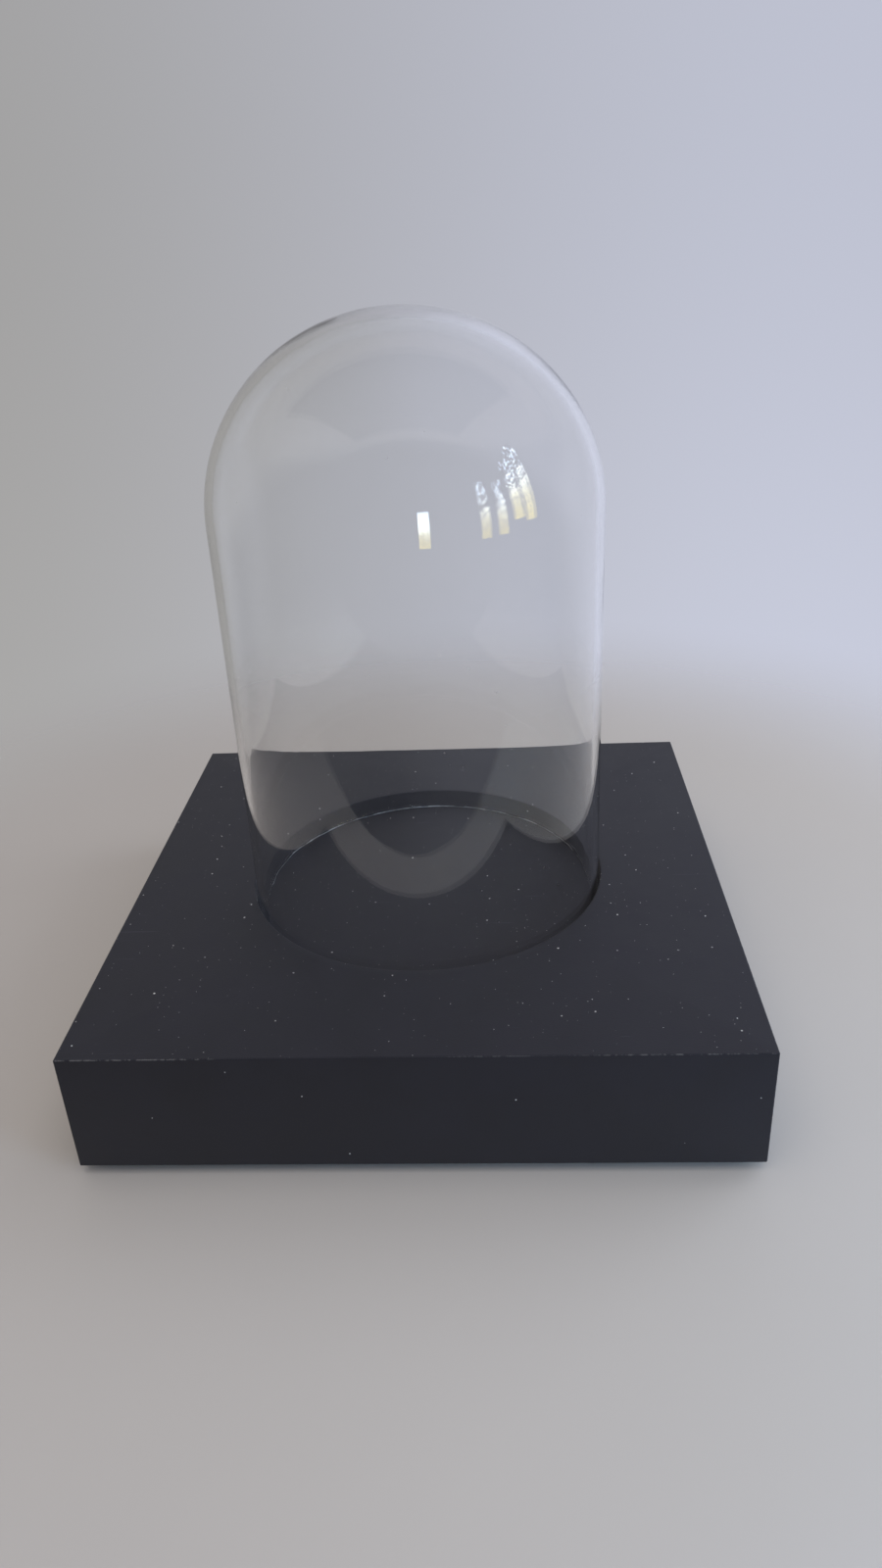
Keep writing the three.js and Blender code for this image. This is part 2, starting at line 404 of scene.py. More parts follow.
def effect(tree, name, **inputs):
    """Places a shared effect in a material with its own values."""
    named = {key.capitalize(): value for key, value in inputs.items()}
    return node(tree, "ShaderNodeGroup", named, node_tree=shared_effect(name)).outputs


def rgba(colour):
    return (*colour, 1.0)


def mirrored(tree):
    """1 for light that has been mirrored on its way, 0 for what is seen directly or through glass."""
    depth = node(tree, "ShaderNodeLightPath").outputs["Glossy Depth"]
    return math_node(tree, "GREATER_THAN", depth, 0.5)


# ---- effects that several finishes share --------------------------------

VECTOR, FLOAT = "NodeSocketVector", "NodeSocketFloat"


def build_dust(name, dimensions):
    """Small pale specks, at most one to a cell: flat cells for dust that has settled on level
    faces, and solid cells for dust that clings to faces of any slope."""
    tree, given, out = group(
        name, {"Position": (VECTOR, None), "Spacing": (FLOAT, 0.008), "Size": (FLOAT, 0.0003),
               "Amount": (FLOAT, 0.2)}, {"Mask": FLOAT})
    scale = per(tree, given["Spacing"])
    cells = node(tree, "ShaderNodeTexVoronoi", {
        "Vector": given["Position"], "Scale": scale, "Randomness": 1.0}, voronoi_dimensions=dimensions)
    lot = node(tree, "ShaderNodeSeparateColor", {"Color": cells.outputs["Color"]}).outputs
    reach = times(tree, cells.outputs["Distance"], given["Spacing"])
    size = times(tree, given["Size"], plus(tree, lot[1], 0.35))
    near = math_node(tree, "LESS_THAN", reach, size)
    present = math_node(tree, "LESS_THAN", lot[0], given["Amount"])
    strength = plus(tree, times(tree, lot[2], 0.7), 0.3)
    mask = times(tree, times(tree, near, present), strength)
    tree.links.new(mask, out["Mask"])
    return tree


def build_stipple():
    """The fine pebbled skin of a sprayed or moulded surface."""
    tree, given, out = group(
        "stipple", {"Position": (VECTOR, None), "Grain": (FLOAT, 0.0009), "Patch": (FLOAT, 0.03)},
        {"Height": FLOAT, "Patches": FLOAT})
    fine = noise_node(tree, given["Position"], per(tree, given["Grain"]), 2.0, 0.6)
    patches = noise_node(tree, given["Position"], per(tree, given["Patch"]), 4.0, 0.6)
    height = plus(tree, fine, times(tree, patches, 0.4))
    tree.links.new(height, out["Height"])
    tree.links.new(patches, out["Patches"])
    return tree


def build_edge_wear():
    """A broken line along the outer arrises of a box that stands on the origin's axis."""
    tree, given, out = group(
        "edge_wear", {"Position": (VECTOR, None), "Half": (FLOAT, 0.15), "Top": (FLOAT, 0.065),
                      "Reach": (FLOAT, 0.001), "Breakup": (FLOAT, 0.002), "Stretch": (FLOAT, 0.1)},
        {"Mask": FLOAT})
    axes = axes_of(tree, given["Position"])
    start = minus(tree, given["Half"], given["Reach"])
    top_start = minus(tree, given["Top"], given["Reach"])
    near_x = math_node(tree, "GREATER_THAN", math_node(tree, "ABSOLUTE", axes["X"]), start)
    near_y = math_node(tree, "GREATER_THAN", math_node(tree, "ABSOLUTE", axes["Y"]), start)
    near_z = math_node(tree, "GREATER_THAN", axes["Z"], top_start)
    count = plus(tree, plus(tree, near_x, near_y), near_z)
    on_edge = math_node(tree, "GREATER_THAN", count, 1.5)
    dots = noise_node(tree, given["Position"], per(tree, given["Breakup"]), 3.0, 0.7)
    stretches = noise_node(tree, given["Position"], per(tree, given["Stretch"]), 2.0, 0.5)
    broken = times(tree, ramp(tree, dots, 0.46, 0.60), ramp(tree, stretches, 0.51, 0.61))
    mask = times(tree, on_edge, broken)
    tree.links.new(mask, out["Mask"])
    return tree


def build_hairlines():
    """Faint straight scratches in two directions, each fading in and out along its length."""
    tree, given, out = group(
        "hairlines", {"Position": (VECTOR, None), "Amount": (FLOAT, 0.1)}, {"Mask": FLOAT})
    masks = []
    for angle, seed in ((28, 0.0), (-63, 0.7)):
        mapping = node(tree, "ShaderNodeMapping", {
            "Vector": given["Position"], "Rotation": (0, 0, math.radians(angle)),
            "Scale": (14, 900, 1), "Location": (seed, seed, seed)})
        lines = noise_node(tree, mapping.outputs["Vector"], 1.0, 1.0, 0.3)
        where = noise_node(tree, given["Position"], 38.0 + angle / 10, 1.0)
        fine = ramp(tree, lines, 0.74, 0.80)
        masks.append(times(tree, fine, ramp(tree, where, 0.55, 0.68)))
    mask = times(tree, highest(tree, *masks), given["Amount"])
    tree.links.new(mask, out["Mask"])
    return tree


def build_smudges():
    """Soft cloudy patches left by handling."""
    tree, given, out = group(
        "smudges", {"Position": (VECTOR, None), "Scale": (FLOAT, 12.0), "Cover": (FLOAT, 0.5)},
        {"Mask": FLOAT})
    clouds = noise_node(tree, given["Position"], given["Scale"], 5.0, 0.65)
    start = minus(tree, 1.0, given["Cover"])
    mask = ramp(tree, clouds, start, plus(tree, start, 0.25))
    tree.links.new(mask, out["Mask"])
    return tree


EFFECTS = {
    "settled_dust": lambda: build_dust("settled_dust", "2D"),
    "clinging_dust": lambda: build_dust("clinging_dust", "3D"),
    "stipple": build_stipple,
    "edge_wear": build_edge_wear,
    "hairlines": build_hairlines,
    "smudges": build_smudges,
}


def shared_effect(name):
    return bpy.data.node_groups.get(name) or EFFECTS[name]()


# ---- finishes -----------------------------------------------------------

def new_material(name):
    """An empty material, its node tree and the position on the object."""
    material = bpy.data.materials.new(name)
    material.use_nodes = True
    tree = material.node_tree
    tree.nodes.clear()
    position = tree.nodes.new("ShaderNodeTexCoord").outputs["Object"]
    return material, tree, position


def surfaced(material, shader):
    """Ends a material's or a world's nodes in a shader."""
    tree = material.node_tree
    kind = "World" if isinstance(material, bpy.types.World) else "Material"
    output = tree.nodes.new(f"ShaderNodeOutput{kind}")
    tree.links.new(shader.outputs[0], output.inputs["Surface"])
    return material


def finished(maker, settings):
    """The finish that maker makes, made the first time it is asked for."""
    name = f"{maker.__name__}_finish"
    return bpy.data.materials.get(name) or maker(name, settings)


DUST = (0.80, 0.79, 0.77, 1)


def charcoal_lacquer(name, settings):
    material, tree, position = new_material(name)
    stipple = effect(tree, "stipple", position=position, grain=0.8 * MM, patch=32 * MM)
    wear = effect(tree, "edge_wear", position=position, half=HALF, top=TOP_Z,
                  reach=0.42 * MM, breakup=2.2 * MM, stretch=95 * MM)["Mask"]
    dust = effect(tree, "settled_dust", position=position,
                  spacing=15 * MM, size=0.34 * MM, amount=0.36)["Mask"]
    fine_dust = effect(tree, "settled_dust", position=position,
                       spacing=5 * MM, size=0.17 * MM, amount=0.24)["Mask"]
    lines = effect(tree, "hairlines", position=position, amount=0.5)["Mask"]
    smudges = effect(tree, "smudges", position=position, scale=9.0, cover=0.52)["Mask"]
    base = Vector(settings.lacquer)
    shade = ramp(tree, stipple["Patches"], 0.25, 0.75)
    colour = mix_colour(tree, shade, rgba(base * 0.86), rgba(base * 1.16))
    colour = mix_colour(tree, times(tree, smudges, 0.22), colour, rgba(base * 1.7))
    colour = mix_colour(tree, lines, colour, rgba(base * 4.5))
    colour = mix_colour(tree, wear, colour, rgba(settings.worn))
    specks = highest(tree, dust, times(tree, fine_dust, 0.5))
    up = axes_of(tree, node(tree, "ShaderNodeNewGeometry").outputs["Normal"])["Z"]
    settled = times(tree, specks, ramp(tree, up, 0.6, 0.95))
    clinging = effect(tree, "clinging_dust", position=position,
                      spacing=6 * MM, size=0.24 * MM, amount=0.2)["Mask"]
    colour = mix_colour(tree, highest(tree, settled, clinging), colour, DUST)
    uneven = ramp(tree, stipple["Patches"], 0.2, 0.8, 0.52, 0.64)
    rough = plus(tree, uneven, times(tree, smudges, 0.09))
    bump = bumped(tree, stipple["Height"], 0.32, 0.12 * MM)
    shader = node(tree, "ShaderNodeBsdfPrincipled", {
        "Base Color": colour, "Roughness": rough, "Normal": bump,
        "IOR": 1.5, "Specular IOR Level": 0.36, "Sheen Weight": 0.05, "Sheen Roughness": 0.5})
    return surfaced(material, shader)


def softwood(name, settings):
    material, tree, position = new_material(name)
    grain_space = node(tree, "ShaderNodeMapping", {"Vector": position, "Scale": (1, 1, 0.06)})
    rings = node(tree, "ShaderNodeTexWave", {
        "Vector": grain_space.outputs["Vector"], "Scale": 90.0, "Distortion": 6.0, "Detail": 3.0,
        "Detail Scale": 1.4}, wave_type="BANDS", bands_direction="X")
    fibres = noise_node(tree, node(tree, "ShaderNodeMapping", {
        "Vector": position, "Scale": (1, 1, 0.03)}).outputs["Vector"], 1600.0, 3.0)
    base = Vector(settings.softwood)
    colour = mix_colour(tree, rings.outputs["Fac"], rgba(base), rgba(base * 0.62))
    colour = mix_colour(tree, ramp(tree, fibres, 0.45, 0.75, 0.0, 0.5), colour, rgba(base * 0.5))
    height = plus(tree, fibres, times(tree, rings.outputs["Fac"], 0.3))
    bump = bumped(tree, height, 0.5, 0.15 * MM)
    shader = node(tree, "ShaderNodeBsdfPrincipled", {
        "Base Color": colour, "Roughness": ramp(tree, fibres, 0.3, 0.7, 0.62, 0.82),
        "Normal": bump, "IOR": 1.45})
    return surfaced(material, shader)


def moulded_rubber(name, settings):
    material, tree, position = new_material(name)
    stipple = effect(tree, "stipple", position=position, grain=0.35 * MM, patch=6 * MM)
    dust = effect(tree, "clinging_dust", position=position,
                  spacing=1.4 * MM, size=0.16 * MM, amount=0.4)["Mask"]
    base = Vector(settings.rubber)
    colour = mix_colour(tree, stipple["Patches"], rgba(base * 0.8), rgba(base * 1.6))
    colour = mix_colour(tree, times(tree, dust, 0.6), colour, (0.25, 0.24, 0.23, 1))
    bump = bumped(tree, stipple["Height"], 0.35, 0.08 * MM)
    shader = node(tree, "ShaderNodeBsdfPrincipled", {
        "Base Color": colour, "Roughness": ramp(tree, stipple["Patches"], 0.2, 0.8, 0.66, 0.84),
        "Normal": bump, "IOR": 1.52})
    return surfaced(material, shader)


def zinc_plate(name, settings):
    material, tree, position = new_material(name)
    smudges = effect(tree, "smudges", position=position, scale=420.0, cover=0.5)["Mask"]
    stipple = effect(tree, "stipple", position=position, grain=0.12 * MM, patch=2 * MM)
    base = Vector(settings.zinc)
    dulled = Vector((base.x * 0.8, base.y * 0.78, base.z * 0.72))
    colour = mix_colour(tree, smudges, rgba(base), rgba(dulled))
    bump = bumped(tree, stipple["Height"], 0.15, 0.02 * MM)
    shader = node(tree, "ShaderNodeBsdfPrincipled", {
        "Base Color": colour, "Metallic": 1.0, "Roughness": ramp(tree, smudges, 0.0, 1.0, 0.24, 0.4),
        "Normal": bump})
    return surfaced(material, shader)


def clear_glass(name, settings):
    """Clear glass with faint draw lines, handling smudges and a few specks. Lamps shine through it."""
    material, tree, position = new_material(name)
    draw_space = node(tree, "ShaderNodeMapping", {"Vector": position, "Scale": (1, 1, 0.12)})
    draw_lines = noise_node(tree, draw_space.outputs["Vector"], 55.0, 2.0)
    swell = noise_node(tree, position, 16.0, 1.0)
    height = plus(tree, times(tree, draw_lines, 0.35), swell)
    bump = bumped(tree, height, 0.25, 0.5 * MM)
    smudges = effect(tree, "smudges", position=position, scale=14.0, cover=0.42)["Mask"]
    specks = effect(tree, "clinging_dust", position=position,
                    spacing=7 * MM, size=0.24 * MM, amount=0.5)["Mask"]
    tint = Vector(settings.tint)
    colour = mix_colour(tree, smudges, rgba(tint), rgba(tint * 0.985))
    rough = times(tree, specks, 0.4)
    glass = node(tree, "ShaderNodeBsdfPrincipled", {
        "Base Color": colour, "Roughness": rough, "Normal": bump,
        "Metallic": 0.0, "Transmission Weight": 1.0, "IOR": 1.51})
    passing = node(tree, "ShaderNodeBsdfTransparent", {"Color": rgba(tint)})
    path = node(tree, "ShaderNodeLightPath").outputs
    lamp_or_bounce = highest(tree, path["Is Shadow Ray"], path["Is Diffuse Ray"])
    mix = mix_shader(tree, lamp_or_bounce, glass, passing)
    return surfaced(material, mix)


def ground_rim_and_highlight(name, settings):
    """The ground inner edge of the rim, finely chipped. Its pale colour is partly the ground glass's own
    whitish frosting and partly a painted highlight for the wall's light refracted in the rim; the pale
    stretches between duller ones are painted lumps of that highlight.
    """
    material, tree, position = new_material(name)
    lumps = noise_node(tree, position, 70.0, 4.0, 0.7)
    chips = noise_node(tree, position, 420.0, 3.0, 0.7)
    pale = Vector(settings.ground_edge_and_highlight)
    # Painted highlight: the pale colour and its lumps stand partly for the wall's light refracted in the rim,
    # partly for the ground glass's own frosting.
    colour = mix_colour(tree, ramp(tree, lumps, 0.42, 0.64), rgba(pale * 0.30), rgba(pale))
    bump = bumped(tree, chips, 0.6, 0.3 * MM)
    shader = node(tree, "ShaderNodeBsdfPrincipled", {
        "Base Color": colour, "Roughness": ramp(tree, chips, 0.3, 0.7, 0.25, 0.55),
        "Normal": bump, "Metallic": 0.0, "Transmission Weight": 0.2, "IOR": 1.51})
    return surfaced(material, shader)


# ---- the dome -----------------------------------------------------------

DOME_STEPS = 240
WALL_ROWS = 44
CAP_ROWS = 44
RIM_ROWS = 6


def dome_outline(radius, spring_z, crown_z, rim_z):
    """(radius, height) points of one face of the glass, from its crown down to its rim."""
    points = []
    for i in range(CAP_ROWS):
        angle = (i + 0.5) / CAP_ROWS * math.pi / 2
        points.append((radius * math.sin(angle), spring_z + (crown_z - spring_z) * math.cos(angle)))
    for i in range(WALL_ROWS):
        points.append((radius, spring_z + (rim_z - spring_z) * i / WALL_ROWS))
    return points


def blown(point, amount, seed):
    """Moves a point of the glass inward, as an uneven blown wall lies inside its widest round."""
    swell = noise.noise(point * 11 + Vector((seed, 0, 0)))
    ripple = noise.noise(Vector((point.x * 42, point.y * 42, point.z * 7 + seed)))
    inward = amount * (0.5 + 0.42 * swell + 0.12 * ripple)
    axis_point = Vector((0, 0, min(point.z, DOME_HIGH.z - DOME_RADIUS)))
    return point - (point - axis_point).normalized() * max(0.0, inward)


class BELLJAR_OT_glass_dome(bpy.types.Operator):
    """Blow the dome: an uneven wall, a thicker crown and a fire-polished rim"""

    bl_idname = "belljar.glass_dome"
    bl_label = "Glass Dome"

    def execute(self, context):
        settings = context.scene.belljar_glass
        outer = DOME_RADIUS
        inner = outer - settings.wall
        spring = DOME_HIGH.z - settings.cap_height
        rounding = settings.rim_rounding
        bottom = DOME_LOW.z
        start = bottom + rounding
        inner_crown = DOME_HIGH.z - settings.wall - settings.crown
        inside = dome_outline(inner, spring, inner_crown, start)
        outside = dome_outline(outer, spring, DOME_HIGH.z, start)
        rim = arc((inner + rounding, start), rounding, 180, 270, RIM_ROWS)
        rim += arc((outer - rounding, start), rounding, 270, 360, RIM_ROWS)
        loops = []
        for outline, seed in ((inside, 3.7), (rim, 5.1), (outside[::-1], 9.2)):
            for radius, z in outline:
                points = ring(radius, z, DOME_STEPS)
                loops.append([blown(p, settings.waviness, seed) for p in points])
        dome = place("blown_dome", loft(loops), "dome", smooth_below=80)
        dome.data.materials.append(finished(clear_glass, settings))
        dome.data.materials.append(finished(ground_rim_and_highlight, settings))
        # Faces along the inner rim edge get the ground edge finish: partly frosted glass colour, partly a
        # painted highlight.
        for face in dome.data.polygons:
            on_inner_edge = face.center.xy.length < inner + 0.7 * rounding
            ground_and_highlight_height = rounding * (0.9 + 0.9 * noise.noise(face.center * 90))
            if on_inner_edge and face.center.z < bottom + ground_and_highlight_height:
                face.material_index = 1
        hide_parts("glass_dome")
        return {"FINISHED"}


# ---- the plinth ---------------------------------------------------------

def lacquered(piece, context):
    settings = context.scene.belljar_plinth
    piece.data.materials.append(finished(charcoal_lacquer, settings))


class BELLJAR_OT_top_panel(bpy.types.Operator):
    """Make the mitred top panel with the dome's well routed in it"""

    bl_idname = "belljar.top_panel"
    bl_label = "Top Panel"

    lip: bpy.props.FloatProperty(
        name="Lip", description="Radius of the well's eased lip", default=0.6 * MM, unit="LENGTH")
    fillet: bpy.props.FloatProperty(
        name="Fillet", description="Radius that the router leaves round the well's floor",
        default=0.5 * MM, unit="LENGTH")

    def execute(self, context):
        settings = context.scene.belljar_plinth
        floor_z = DOME_LOW.z - settings.rest_gap
        well = DOME_RADIUS + settings.well_clearance
        arris = settings.arris
        back = settings.glue_line / math.sqrt(2)
        outline = [(well * part, floor_z) for part in (0.02, 0.2, 0.4, 0.6, 0.8, 0.96)]
        outline += arc((well - self.fillet, floor_z + self.fillet), self.fillet, 270, 360, 5)
        outline += arc((well + self.lip, TOP_Z - self.lip), self.lip, 180, 90, 6)
        loops = [round_loop(radius, z) for radius, z in outline]
        spread = [(well + self.lip) * 1.04, (well + self.lip) * 1.2]
        loops += [round_loop(radius, TOP_Z) for radius in spread]
        middle = (HALF - arris, TOP_Z - arris)
        for across, up in arc(middle, arris, 90, 45, 5):
            loops.append(square_loop(across, across - middle[0], up))
        depth = TOP_Z - CAVITY_TOP_Z
        below = arris * (1 - math.sqrt(0.5)) + 2 * back
        loops.append(square_loop(HALF - below - back, 0.0, TOP_Z - below))
        loops.append(square_loop(HALF - depth - back, 0.0, CAVITY_TOP_Z))
        panel = place("top_board", loft(loops), "plinth")
        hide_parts("top_panel")
        lacquered(panel, context)
        return {"FINISHED"}


class BELLJAR_OT_side_panels(bpy.types.Operator):
    """Make the four side panels, mitred along the top and at both ends"""

    bl_idname = "belljar.side_panels"
    bl_label = "Side Panels"

    def execute(self, context):
        settings = context.scene.belljar_plinth
        gap = settings.glue_line / 2
        for name, degrees in SIDES.items():
            bm = rounded_box(PLINTH_LOW, PLINTH_HIGH, settings.arris, 5)
            for across, up in ((1, 0), (-1, 0), (0, 1)):
                normal = Vector((across, 1, up)).normalized()
                point = Vector((across * HALF, -HALF, TOP_Z)) - normal * gap
                slice_off(bm, point, normal)
            slice_off(bm, Vector((0, -INNER_HALF, 0)), Vector((0, 1, 0)))
            turn = Matrix.Rotation(math.radians(degrees), 4, "Z")
            bmesh.ops.transform(bm, matrix=turn, verts=bm.verts)
            panel = place(name.replace("panel", "board"), bm, "plinth")
            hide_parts(name)
            lacquered(panel, context)
        return {"FINISHED"}


FOOT_BORE = 2 * MM  # radius of the holes that the feet's screws go through

# Heads of the screws: an outline in parts of the head's radius and height, and the height.
COUNTERSUNK = ([(0.5, 0.0), (0.96, 0.0), (1.0, 0.06), (0.5, 0.94), (0.49, 1.0)], 3.2 * MM)
PAN = ([(0.3, 0.0), (0.62, 0.03), (0.86, 0.25), (0.98, 0.55), (1.0, 0.75), (1.0, 0.95),
        (0.97, 1.0), (0.49, 1.0)], 1.5 * MM)


def hole(outline, steps, centre):
    """A cutter for a turned hole."""
    return place("cutter", turned(outline, steps, centre), None)


class BELLJAR_OT_bottom_panel(bpy.types.Operator):
    """Make the let-in bottom panel with its countersunk and pilot holes"""

    bl_idname = "belljar.bottom_panel"
    bl_label = "Bottom Panel"

    edge: bpy.props.FloatProperty(
        name="Edge", description="Radius of the panel's edges", default=0.5 * MM, unit="LENGTH")

    def execute(self, context):
        low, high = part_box("bottom_panel")
        panel = place("bottom_board", rounded_box(low, high, self.edge, 3), "plinth")
        cutters = []
        for corner in CORNERS:
            head_low, head_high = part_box(f"bottom_screw_{corner}")
            middle = (head_low + head_high) / 2
            wide = (head_high.x - head_low.x) / 2 + 0.3 * MM
            narrow = wide / 2 + 0.15 * MM
            outline = [(wide, low.z - MM), (wide, head_low.z),
                       (narrow, head_low.z + COUNTERSUNK[1]), (narrow, high.z + MM)]
            cutters.append(hole(outline, 40, middle.xy))
            screw_low, screw_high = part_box(f"foot_screw_{corner}")
            middle = (screw_low + screw_high) / 2
            pilot = [(FOOT_BORE, low.z - MM), (FOOT_BORE, screw_high.z + 0.3 * MM)]
            cutters.append(hole(pilot, 32, middle.xy))
        cut(panel, cutters)
        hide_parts("bottom_panel")
        lacquered(panel, context)
        return {"FINISHED"}


class BELLJAR_OT_corner_blocks(bpy.types.Operator):
    """Make the four softwood glue blocks, drilled for their screws"""

    bl_idname = "belljar.corner_blocks"
    bl_label = "Corner Blocks"

    def execute(self, context):
        settings = context.scene.belljar_plinth
        for corner in CORNERS:
            name = f"corner_block_{corner}"
            low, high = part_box(name)
            block = place(f"glue_block_{corner}", rounded_box(low, high, 0.8 * MM, 3), "plinth")
            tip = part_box(f"bottom_screw_{corner}")[1].z
            middle = (low + high) / 2
            pilot = [(2.2 * MM, low.z - MM), (2.2 * MM, tip), (0.3 * MM, tip + MM)]
            cut(block, [hole(pilot, 32, middle.xy)])
            block.data.materials.append(finished(softwood, settings))
            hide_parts(name)
        return {"FINISHED"}


# ---- screws, washers and feet -------------------------------------------

THREAD_STEPS = 28
ROWS_PER_TURN = 7
CORE = 0.49  # radius of the shank in parts of the head's radius
TIP = 3 * MM  # length over which the shank tapers to its point
RUN_IN = 2 * MM  # length over which the thread rises from under the head


def screw(name, node_name, head, settings):
    """A threaded screw, point up, in the box of its CAD node. head is an outline from the middle
    of its face, in parts of the head's radius and height, and that height."""
    low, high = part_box(node_name)
    middle = (low + high) / 2
    head_radius = (high.x - low.x) / 2
    outline, head_height = head
    loops = [ring(r * head_radius, low.z + z * head_height, THREAD_STEPS, middle.xy) for r, z in outline]
    core = head_radius * CORE
    start = low.z + head_height
    length = high.z - start
    rows = int(length / settings.thread_pitch * ROWS_PER_TURN)
    for row in range(1, rows):
        z = start + length * row / rows
        narrowing = min(1.0, (high.z - z) / TIP)
        growth = min(1.0, (z - start) / RUN_IN)
        loop = []
        for i, point in enumerate(ring(1.0, z, THREAD_STEPS)):
            phase = ((z - start) / settings.thread_pitch - i / THREAD_STEPS) % 1.0
            crest = max(0.0, 1 - abs(phase - 0.5) * 3.4)
            radius = (core - settings.thread_depth * (growth - crest * growth)) * narrowing
            loop.append(Vector((middle.x + point.x * radius, middle.y + point.y * radius, z)))
        loops.append(loop)
    piece = place(name, loft(loops), "plinth", smooth_below=50)
    arm_half = Vector((0.55 * head_radius, 0.5 * MM, MM))
    recess = []
    for turn in (0, 90):
        arm = rounded_box(-arm_half, arm_half, 0.15 * MM, 2)
        spin = Matrix.Rotation(math.radians(turn), 4, "Z")
        matrix = Matrix.Translation((middle.x, middle.y, low.z)) @ spin
        bmesh.ops.transform(arm, matrix=matrix, verts=arm.verts)
        recess.append(place("cutter", arm, None))
    cut(piece, recess)
    piece.data.materials.append(finished(zinc_plate, settings))
    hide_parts(node_name)
    return piece


class BELLJAR_OT_bottom_screws(bpy.types.Operator):
    """Turn the four countersunk screws that hold the bottom panel"""

    bl_idname = "belljar.bottom_screws"
    bl_label = "Bottom Screws"

    def execute(self, context):
        settings = context.scene.belljar_fittings
        for corner in CORNERS:
            screw(f"panel_screw_{corner}", f"bottom_screw_{corner}", COUNTERSUNK, settings)
        return {"FINISHED"}


class BELLJAR_OT_rubber_feet(bpy.types.Operator):
    """Mould the four rubber feet with their screw pockets"""

    bl_idname = "belljar.rubber_feet"
    bl_label = "Rubber Feet"

    def execute(self, context):
        settings = context.scene.belljar_fittings
        for corner in CORNERS:
            name = f"rubber_foot_{corner}"
            low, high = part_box(name)
            middle = (low + high) / 2
            outer = (high.x - low.x) / 2
            washer_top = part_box(f"foot_washer_{corner}")[1].z
            ledge = washer_top + 0.1 * MM
            pocket = 5.2 * MM
            tread = outer - MM
            mouth, heel, shoulder = 0.4 * MM, 0.5 * MM, 0.3 * MM
            outline = [(FOOT_BORE, high.z), (FOOT_BORE, ledge), (pocket, ledge)]
            outline += arc((pocket + mouth, low.z + mouth), mouth, 180, 270, 4)
            for groove in (6.8 * MM, 8.2 * MM):
                outline += arc((groove, low.z), 0.3 * MM, 180, 0, 6)
            outline += arc((tread - heel, low.z + heel), heel, 270, 345, 5)
            outline += arc((outer - shoulder, high.z - shoulder), shoulder, 0, 90, 3)
            bm = turned(outline, 72, middle.xy, closed=True)
            foot = place(f"moulded_foot_{corner}", bm, "plinth")
            foot.data.materials.append(finished(moulded_rubber, settings))
            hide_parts(name)
        return {"FINISHED"}


class BELLJAR_OT_foot_fastenings(bpy.types.Operator):
    """Make the washer and the pan-head screw in each foot"""

    bl_idname = "belljar.foot_fastenings"
    bl_label = "Foot Fastenings"

    def execute(self, context):
        settings = context.scene.belljar_fittings
        edge = 0.12 * MM
        for corner in CORNERS:
            name = f"foot_washer_{corner}"
            low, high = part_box(name)
            middle = (low + high) / 2
            outer = (high.x - low.x) / 2
            outline = arc((outer - edge, low.z + edge), edge, 270, 360, 3)
            outline += arc((outer - edge, high.z - edge), edge, 0, 90, 3)
            outline += arc((FOOT_BORE + edge, high.z - edge), edge, 90, 180, 3)
            outline += arc((FOOT_BORE + edge, low.z + edge), edge, 180, 270, 3)
            bm = turned(outline, 56, middle.xy, closed=True)
            washer = place(f"steel_washer_{corner}", bm, "plinth")
            washer.data.materials.append(finished(zinc_plate, settings))
            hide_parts(name)
            screw(f"pan_screw_{corner}", f"foot_screw_{corner}", PAN, settings)
        return {"FINISHED"}


# ---- the studio ---------------------------------------------------------

# Window panes that the glass mirrors: (left, right) and (low, high) bearings in degrees, seen
# from the dome, with 0 straight ahead of its front, how bright the sky is in them, and how much
# of that sky gets past the branches in front of it.
PANES = [
    ((10.4, 16.4), (-6.0, 14.5), 18.0, 0.8),
    ((45.0, 50.5), (-4.5, 25.0), 15.0, 0.0),
    ((55.0, 60.5), (-4.0, 23.0), 15.0, 0.0),
    ((65.0, 71.0), (2.0, 31.0), 19.0, 0.0),
    ((73.0, 79.0), (0.0, 36.0), 19.0, 0.0),
]
PANE_DISTANCE = 2.6
LEAVES = (0.62, 0.52, 0.12, 1)
SKY = (0.68, 0.82, 1.0, 1)

# Large soft lamps: name, place, side, watts and colour.
LAMPS = [
    ("overhead", (-0.02, -0.42, 1.3), 1.2, 6.4, (1.0, 0.96, 0.92)),
    ("right_window", (0.95, 0.30, 0.55), 0.7, 3.9, (0.80, 0.89, 1.0)),
    ("low_right_window", (0.62, -0.52, 0.21), 0.3, 2.6, (0.42, 0.68, 1.0)),
]
LAMPS_AIM = Vector((0, 0, 0.1))

FLOOR_RINGS = (0.05, 0.3, 0.9, 3.0)
FLOOR_FADE = (0.30, 0.62)  # radii between which the floor gives way to the backdrop
MIRRORED_END = -0.30  # where mirrors see the floor end, in front of the plinth

# What the even light is tinted by on the object's left and on its right, where the windows are.
WARM_SIDE = (0.92, 0.83, 0.71, 1)
WINDOW_SIDE = (1.03, 1.10, 1.27, 1)


def bearing(azimuth, elevation, distance):
    """A point seen from the middle of the dome at that bearing."""
    a, e = math.radians(azimuth), math.radians(elevation)
    step = Vector((math.sin(a) * math.cos(e), -math.cos(a) * math.cos(e), math.sin(e)))
    return Vector((0, 0, (DOME_LOW.z + DOME_HIGH.z) / 2)) + step * distance


